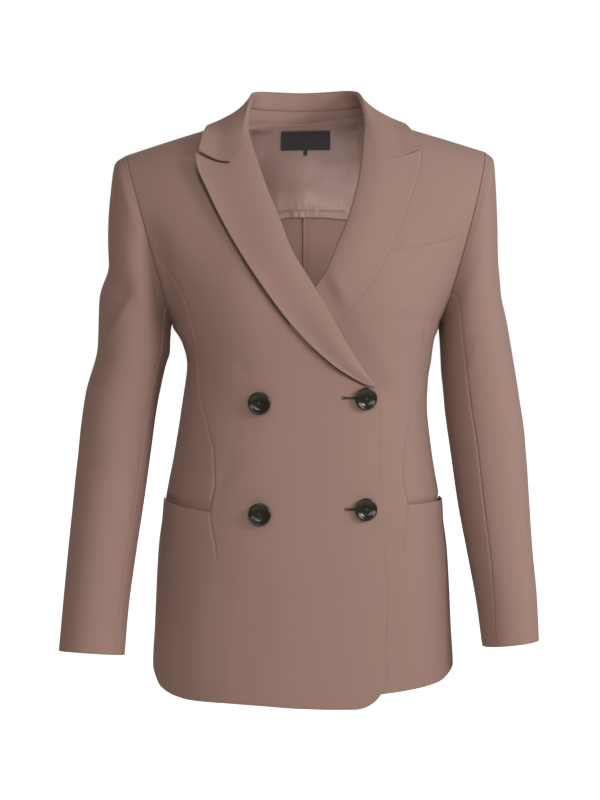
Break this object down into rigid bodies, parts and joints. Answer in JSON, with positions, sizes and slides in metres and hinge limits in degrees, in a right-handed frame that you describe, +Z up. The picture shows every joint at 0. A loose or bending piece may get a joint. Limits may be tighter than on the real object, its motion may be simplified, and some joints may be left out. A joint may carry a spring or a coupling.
{
  "type": "double breasted blazer",
  "caption": "Hip-length double breasted blazer with peak lapels, slanted breast welt, hip pockets, two-piece sleeves and a half lining, in its worn hollow shape",
  "frame": {"origin": "middle of the neck base, level with the inner ends of the shoulder seams, where the garment hangs on the wearer", "axes": "+Z up, -Y is the front, the wearer's right is at -X; Z is the longest extent and Y the shortest"},
  "size_m": [0.5516, 0.246, 0.7085],
  "materials": {
    "crepe": "matt crepe suiting in dusky pink-brown",
    "satin_lining": "satin lining in the same colour, softly shining",
    "label_weave": "dark close woven patch, bare",
    "dark_horn": "polished dark horn effect"
  },
  "bodies": {
    "root": {"front_right": "crepe", "side_front_right": "crepe", "back_right": "crepe", "top_sleeve_right": "crepe", "under_sleeve_right": "crepe", "lapel_right": "crepe", "front_left": "crepe", "side_front_left": "crepe", "back_left": "crepe", "top_sleeve_left": "crepe", "under_sleeve_left": "crepe", "lapel_left": "crepe", "collar": "crepe", "collar_stand": "crepe", "breast_welt": "crepe", "yoke_lining": "satin_lining", "label": "label_weave", "size_tab": "label_weave", "seam_allowance_lower": "crepe", "seam_allowance_upper": "crepe", "button_upper_edge": "dark_horn", "button_upper_inner": "dark_horn", "button_lower_edge": "dark_horn", "button_lower_inner": "dark_horn"}
  },
  "joints": []
}
